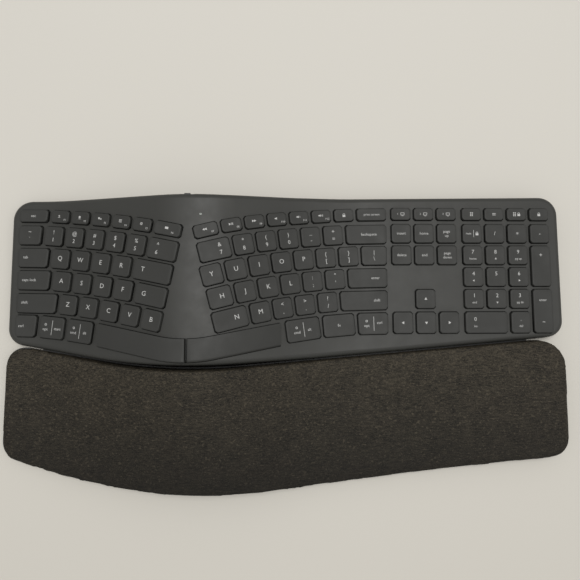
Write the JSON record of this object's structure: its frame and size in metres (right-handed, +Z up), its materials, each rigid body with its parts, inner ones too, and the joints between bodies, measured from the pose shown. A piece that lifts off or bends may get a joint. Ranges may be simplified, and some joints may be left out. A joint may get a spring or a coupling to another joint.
{
  "type": "split ergonomic keyboard",
  "caption": "Split ergonomic keyboard with a waved deck, fanned keys that press, a number block, a padded fabric palm rest and flip legs.",
  "frame": {"origin": "on the desk, under the middle of the overall box", "axes": "+X to the right, towards the number block; +Y to the back, away from the palm rest; +Z up"},
  "size_m": [0.456, 0.24, 0.0482],
  "materials": {
    "housing": "fine satin texture",
    "base": "matt",
    "keycap": "smooth satin",
    "dome_rubber": "milky silicone",
    "contact_film": "clear film",
    "plate_steel": "zinc plated",
    "palm_fabric": "fine melange knit",
    "palm_foam": "open cell foam",
    "foot_rubber": "matt",
    "screw_steel": "black zinc",
    "cell_can": "painted can",
    "spring_metal": "nickel plated",
    "board": "solder mask",
    "light": "clear lens",
    "switch": "satin",
    "leg": "matt"
  },
  "bodies": {
    "housing": {"top_case": "housing", "bottom_case": "base", "dome_sheet": "dome_rubber", "membrane": "contact_film", "key_plate": "plate_steel", "palm_fabric": "palm_fabric", "palm_foam": "palm_foam", "palm_base": "base", "rubber_feet": "foot_rubber", "screws": "screw_steel", "batteries": "cell_can", "battery_contacts": "spring_metal", "circuit_board": "board", "status_light": "light"},
    "key_q": {"key_q": "keycap"},
    "key_w": {"key_w": "keycap"},
    "key_e": {"key_e": "keycap"},
    "key_r": {"key_r": "keycap"},
    "key_t": {"key_t": "keycap"},
    "key_a": {"key_a": "keycap"},
    "key_s": {"key_s": "keycap"},
    "key_d": {"key_d": "keycap"},
    "key_f": {"key_f": "keycap"},
    "key_g": {"key_g": "keycap"},
    "key_z": {"key_z": "keycap"},
    "key_x": {"key_x": "keycap"},
    "key_c": {"key_c": "keycap"},
    "key_v": {"key_v": "keycap"},
    "key_b": {"key_b": "keycap"},
    "key_y": {"key_y": "keycap"},
    "key_u": {"key_u": "keycap"},
    "key_i": {"key_i": "keycap"},
    "key_o": {"key_o": "keycap"},
    "key_p": {"key_p": "keycap"},
    "key_h": {"key_h": "keycap"},
    "key_j": {"key_j": "keycap"},
    "key_k": {"key_k": "keycap"},
    "key_l": {"key_l": "keycap"},
    "key_n": {"key_n": "keycap"},
    "key_m": {"key_m": "keycap"},
    "function_keys_left": {"function_keys_left": "keycap"},
    "number_keys_left": {"number_keys_left": "keycap"},
    "edge_keys_left": {"edge_keys_left": "keycap"},
    "function_keys_right": {"function_keys_right": "keycap"},
    "number_keys_right": {"number_keys_right": "keycap"},
    "edge_keys_right": {"edge_keys_right": "keycap"},
    "punctuation_keys": {"punctuation_keys": "keycap"},
    "navigation_keys": {"navigation_keys": "keycap"},
    "arrow_keys": {"arrow_keys": "keycap"},
    "number_pad_keys": {"number_pad_keys": "keycap"},
    "space_bar_left": {"space_bar_left": "keycap"},
    "space_bar_right": {"space_bar_right": "keycap"},
    "power_switch": {"power_switch": "switch"},
    "battery_door": {"battery_door": "base"},
    "tall_leg_left": {"tall_leg_left": "leg"},
    "short_leg_left": {"short_leg_left": "leg"},
    "tall_leg_right": {"tall_leg_right": "leg"},
    "short_leg_right": {"short_leg_right": "leg"}
  },
  "joints": [
    {"name": "key_q_press", "type": "slide", "parent": "housing", "child": "key_q", "axis": [0.2299, 0.0195, -0.973], "range_m": [0, 0.0018], "stiffness_N_per_m": 330, "springref_m": -0.0004, "deforming": ["dome_sheet"]},
    {"name": "key_w_press", "type": "slide", "parent": "housing", "child": "key_w", "axis": [0.3077, 0.0191, -0.9513], "range_m": [0, 0.0018], "stiffness_N_per_m": 330, "springref_m": -0.0004, "deforming": ["dome_sheet"]},
    {"name": "key_e_press", "type": "slide", "parent": "housing", "child": "key_e", "axis": [0.309, 0.0191, -0.9509], "range_m": [0, 0.0018], "stiffness_N_per_m": 330, "springref_m": -0.0004, "deforming": ["dome_sheet"]},
    {"name": "key_r_press", "type": "slide", "parent": "housing", "child": "key_r", "axis": [0.309, 0.0191, -0.9509], "range_m": [0, 0.0018], "stiffness_N_per_m": 330, "springref_m": -0.0004, "deforming": ["dome_sheet"]},
    {"name": "key_t_press", "type": "slide", "parent": "housing", "child": "key_t", "axis": [0.2755, 0.0193, -0.9611], "range_m": [0, 0.0018], "stiffness_N_per_m": 330, "springref_m": -0.0004, "deforming": ["dome_sheet"]},
    {"name": "key_a_press", "type": "slide", "parent": "housing", "child": "key_a", "axis": [0.2421, 0.0195, -0.9701], "range_m": [0, 0.0018], "stiffness_N_per_m": 330, "springref_m": -0.0004, "deforming": ["dome_sheet"]},
    {"name": "key_s_press", "type": "slide", "parent": "housing", "child": "key_s", "axis": [0.3088, 0.0191, -0.9509], "range_m": [0, 0.0018], "stiffness_N_per_m": 330, "springref_m": -0.0004, "deforming": ["dome_sheet"]},
    {"name": "key_d_press", "type": "slide", "parent": "housing", "child": "key_d", "axis": [0.309, 0.0191, -0.9509], "range_m": [0, 0.0018], "stiffness_N_per_m": 330, "springref_m": -0.0004, "deforming": ["dome_sheet"]},
    {"name": "key_f_press", "type": "slide", "parent": "housing", "child": "key_f", "axis": [0.309, 0.0191, -0.9509], "range_m": [0, 0.0018], "stiffness_N_per_m": 330, "springref_m": -0.0004, "deforming": ["dome_sheet"]},
    {"name": "key_g_press", "type": "slide", "parent": "housing", "child": "key_g", "axis": [0.2869, 0.0192, -0.9578], "range_m": [0, 0.0018], "stiffness_N_per_m": 330, "springref_m": -0.0004, "deforming": ["dome_sheet"]},
    {"name": "key_z_press", "type": "slide", "parent": "housing", "child": "key_z", "axis": [0.2795, 0.0193, -0.9599], "range_m": [0, 0.0018], "stiffness_N_per_m": 330, "springref_m": -0.0004, "deforming": ["dome_sheet"]},
    {"name": "key_x_press", "type": "slide", "parent": "housing", "child": "key_x", "axis": [0.309, 0.0191, -0.9509], "range_m": [0, 0.0018], "stiffness_N_per_m": 330, "springref_m": -0.0004, "deforming": ["dome_sheet"]},
    {"name": "key_c_press", "type": "slide", "parent": "housing", "child": "key_c", "axis": [0.309, 0.0191, -0.9509], "range_m": [0, 0.0018], "stiffness_N_per_m": 330, "springref_m": -0.0004, "deforming": ["dome_sheet"]},
    {"name": "key_v_press", "type": "slide", "parent": "housing", "child": "key_v", "axis": [0.309, 0.0191, -0.9509], "range_m": [0, 0.0018], "stiffness_N_per_m": 330, "springref_m": -0.0004, "deforming": ["dome_sheet"]},
    {"name": "key_b_press", "type": "slide", "parent": "housing", "child": "key_b", "axis": [0.2939, 0.0192, -0.9557], "range_m": [0, 0.0018], "stiffness_N_per_m": 330, "springref_m": -0.0004, "deforming": ["dome_sheet"]},
    {"name": "key_y_press", "type": "slide", "parent": "housing", "child": "key_y", "axis": [-0.1456, 0.0199, -0.9891], "range_m": [0, 0.0018], "stiffness_N_per_m": 330, "springref_m": -0.0004, "deforming": ["dome_sheet"]},
    {"name": "key_u_press", "type": "slide", "parent": "housing", "child": "key_u", "axis": [-0.3048, 0.0191, -0.9522], "range_m": [0, 0.0018], "stiffness_N_per_m": 330, "springref_m": -0.0004, "deforming": ["dome_sheet"]},
    {"name": "key_i_press", "type": "slide", "parent": "housing", "child": "key_i", "axis": [-0.3255, 0.019, -0.9453], "range_m": [0, 0.0018], "stiffness_N_per_m": 330, "springref_m": -0.0004, "deforming": ["dome_sheet"]},
    {"name": "key_o_press", "type": "slide", "parent": "housing", "child": "key_o", "axis": [-0.3185, 0.019, -0.9477], "range_m": [0, 0.0018], "stiffness_N_per_m": 330, "springref_m": -0.0004, "deforming": ["dome_sheet"]},
    {"name": "key_p_press", "type": "slide", "parent": "housing", "child": "key_p", "axis": [-0.2449, 0.0195, -0.9694], "range_m": [0, 0.0018], "stiffness_N_per_m": 330, "springref_m": -0.0004, "deforming": ["dome_sheet"]},
    {"name": "key_h_press", "type": "slide", "parent": "housing", "child": "key_h", "axis": [-0.2113, 0.0196, -0.9772], "range_m": [0, 0.0018], "stiffness_N_per_m": 330, "springref_m": -0.0004, "deforming": ["dome_sheet"]},
    {"name": "key_j_press", "type": "slide", "parent": "housing", "child": "key_j", "axis": [-0.3249, 0.019, -0.9455], "range_m": [0, 0.0018], "stiffness_N_per_m": 330, "springref_m": -0.0004, "deforming": ["dome_sheet"]},
    {"name": "key_k_press", "type": "slide", "parent": "housing", "child": "key_k", "axis": [-0.3255, 0.019, -0.9453], "range_m": [0, 0.0018], "stiffness_N_per_m": 330, "springref_m": -0.0004, "deforming": ["dome_sheet"]},
    {"name": "key_l_press", "type": "slide", "parent": "housing", "child": "key_l", "axis": [-0.2972, 0.0192, -0.9546], "range_m": [0, 0.0018], "stiffness_N_per_m": 330, "springref_m": -0.0004, "deforming": ["dome_sheet"]},
    {"name": "key_n_press", "type": "slide", "parent": "housing", "child": "key_n", "axis": [-0.269, 0.0193, -0.963], "range_m": [0, 0.0018], "stiffness_N_per_m": 330, "springref_m": -0.0004, "deforming": ["dome_sheet"]},
    {"name": "key_m_press", "type": "slide", "parent": "housing", "child": "key_m", "axis": [-0.3255, 0.019, -0.9453], "range_m": [0, 0.0018], "stiffness_N_per_m": 330, "springref_m": -0.0004, "deforming": ["dome_sheet"]},
    {"name": "function_left_press", "type": "slide", "parent": "housing", "child": "function_keys_left", "axis": [0.2526, 0.0194, -0.9674], "range_m": [0, 0.0018], "stiffness_N_per_m": 2310, "springref_m": -0.0004, "deforming": ["dome_sheet"]},
    {"name": "number_left_press", "type": "slide", "parent": "housing", "child": "number_keys_left", "axis": [0.2493, 0.0194, -0.9682], "range_m": [0, 0.0018], "stiffness_N_per_m": 2310, "springref_m": -0.0004, "deforming": ["dome_sheet"]},
    {"name": "edge_left_press", "type": "slide", "parent": "housing", "child": "edge_keys_left", "axis": [0.1552, 0.0198, -0.9877], "range_m": [0, 0.0018], "stiffness_N_per_m": 1980, "springref_m": -0.0004, "deforming": ["dome_sheet"]},
    {"name": "function_right_press", "type": "slide", "parent": "housing", "child": "function_keys_right", "axis": [-0.194, 0.0197, -0.9808], "range_m": [0, 0.0018], "stiffness_N_per_m": 2640, "springref_m": -0.0004, "deforming": ["dome_sheet"]},
    {"name": "number_right_press", "type": "slide", "parent": "housing", "child": "number_keys_right", "axis": [-0.2108, 0.0196, -0.9773], "range_m": [0, 0.0018], "stiffness_N_per_m": 2310, "springref_m": -0.0004, "deforming": ["dome_sheet"]},
    {"name": "edge_right_press", "type": "slide", "parent": "housing", "child": "edge_keys_right", "axis": [-0.0648, 0.02, -0.9977], "range_m": [0, 0.0018], "stiffness_N_per_m": 1980, "springref_m": -0.0004, "deforming": ["dome_sheet"]},
    {"name": "punctuation_press", "type": "slide", "parent": "housing", "child": "punctuation_keys", "axis": [-0.1771, 0.0197, -0.984], "range_m": [0, 0.0018], "stiffness_N_per_m": 2310, "springref_m": -0.0004, "deforming": ["dome_sheet"]},
    {"name": "navigation_press", "type": "slide", "parent": "housing", "child": "navigation_keys", "axis": [0, 0.0201, -0.9998], "range_m": [0, 0.0018], "stiffness_N_per_m": 2970, "springref_m": -0.0004, "deforming": ["dome_sheet"]},
    {"name": "arrow_press", "type": "slide", "parent": "housing", "child": "arrow_keys", "axis": [0, 0.0201, -0.9998], "range_m": [0, 0.0018], "stiffness_N_per_m": 1320, "springref_m": -0.0004, "deforming": ["dome_sheet"]},
    {"name": "number_pad_press", "type": "slide", "parent": "housing", "child": "number_pad_keys", "axis": [0, 0.0201, -0.9998], "range_m": [0, 0.0018], "stiffness_N_per_m": 6930, "springref_m": -0.0004, "deforming": ["dome_sheet"]},
    {"name": "space_bar_left_press", "type": "slide", "parent": "housing", "child": "space_bar_left", "axis": [0.267, 0.0193, -0.9635], "range_m": [0, 0.0018], "stiffness_N_per_m": 500, "springref_m": -0.0004, "deforming": ["dome_sheet"]},
    {"name": "space_bar_right_press", "type": "slide", "parent": "housing", "child": "space_bar_right", "axis": [-0.2369, 0.0195, -0.9713], "range_m": [0, 0.0018], "stiffness_N_per_m": 500, "springref_m": -0.0004, "deforming": ["dome_sheet"]},
    {"name": "power_switch_slide", "type": "slide", "parent": "housing", "child": "power_switch", "axis": [1, 0, 0], "range_m": [0, 0.0028]},
    {"name": "battery_door_pull", "type": "slide", "parent": "housing", "child": "battery_door", "axis": [0, 0, -1], "range_m": [0, 0.02]},
    {"name": "tall_leg_left_flip", "type": "hinge", "parent": "housing", "child": "tall_leg_left", "pos_m": [-0.166, -0.084, 0.0029], "axis": [-1, 0, 0], "range_deg": [0, 95]},
    {"name": "short_leg_left_flip", "type": "hinge", "parent": "housing", "child": "short_leg_left", "pos_m": [-0.132, -0.084, 0.0029], "axis": [-1, 0, 0], "range_deg": [0, 95]},
    {"name": "tall_leg_right_flip", "type": "hinge", "parent": "housing", "child": "tall_leg_right", "pos_m": [0.166, -0.084, 0.0029], "axis": [-1, 0, 0], "range_deg": [0, 95]},
    {"name": "short_leg_right_flip", "type": "hinge", "parent": "housing", "child": "short_leg_right", "pos_m": [0.132, -0.084, 0.0029], "axis": [-1, 0, 0], "range_deg": [0, 95]}
  ]
}
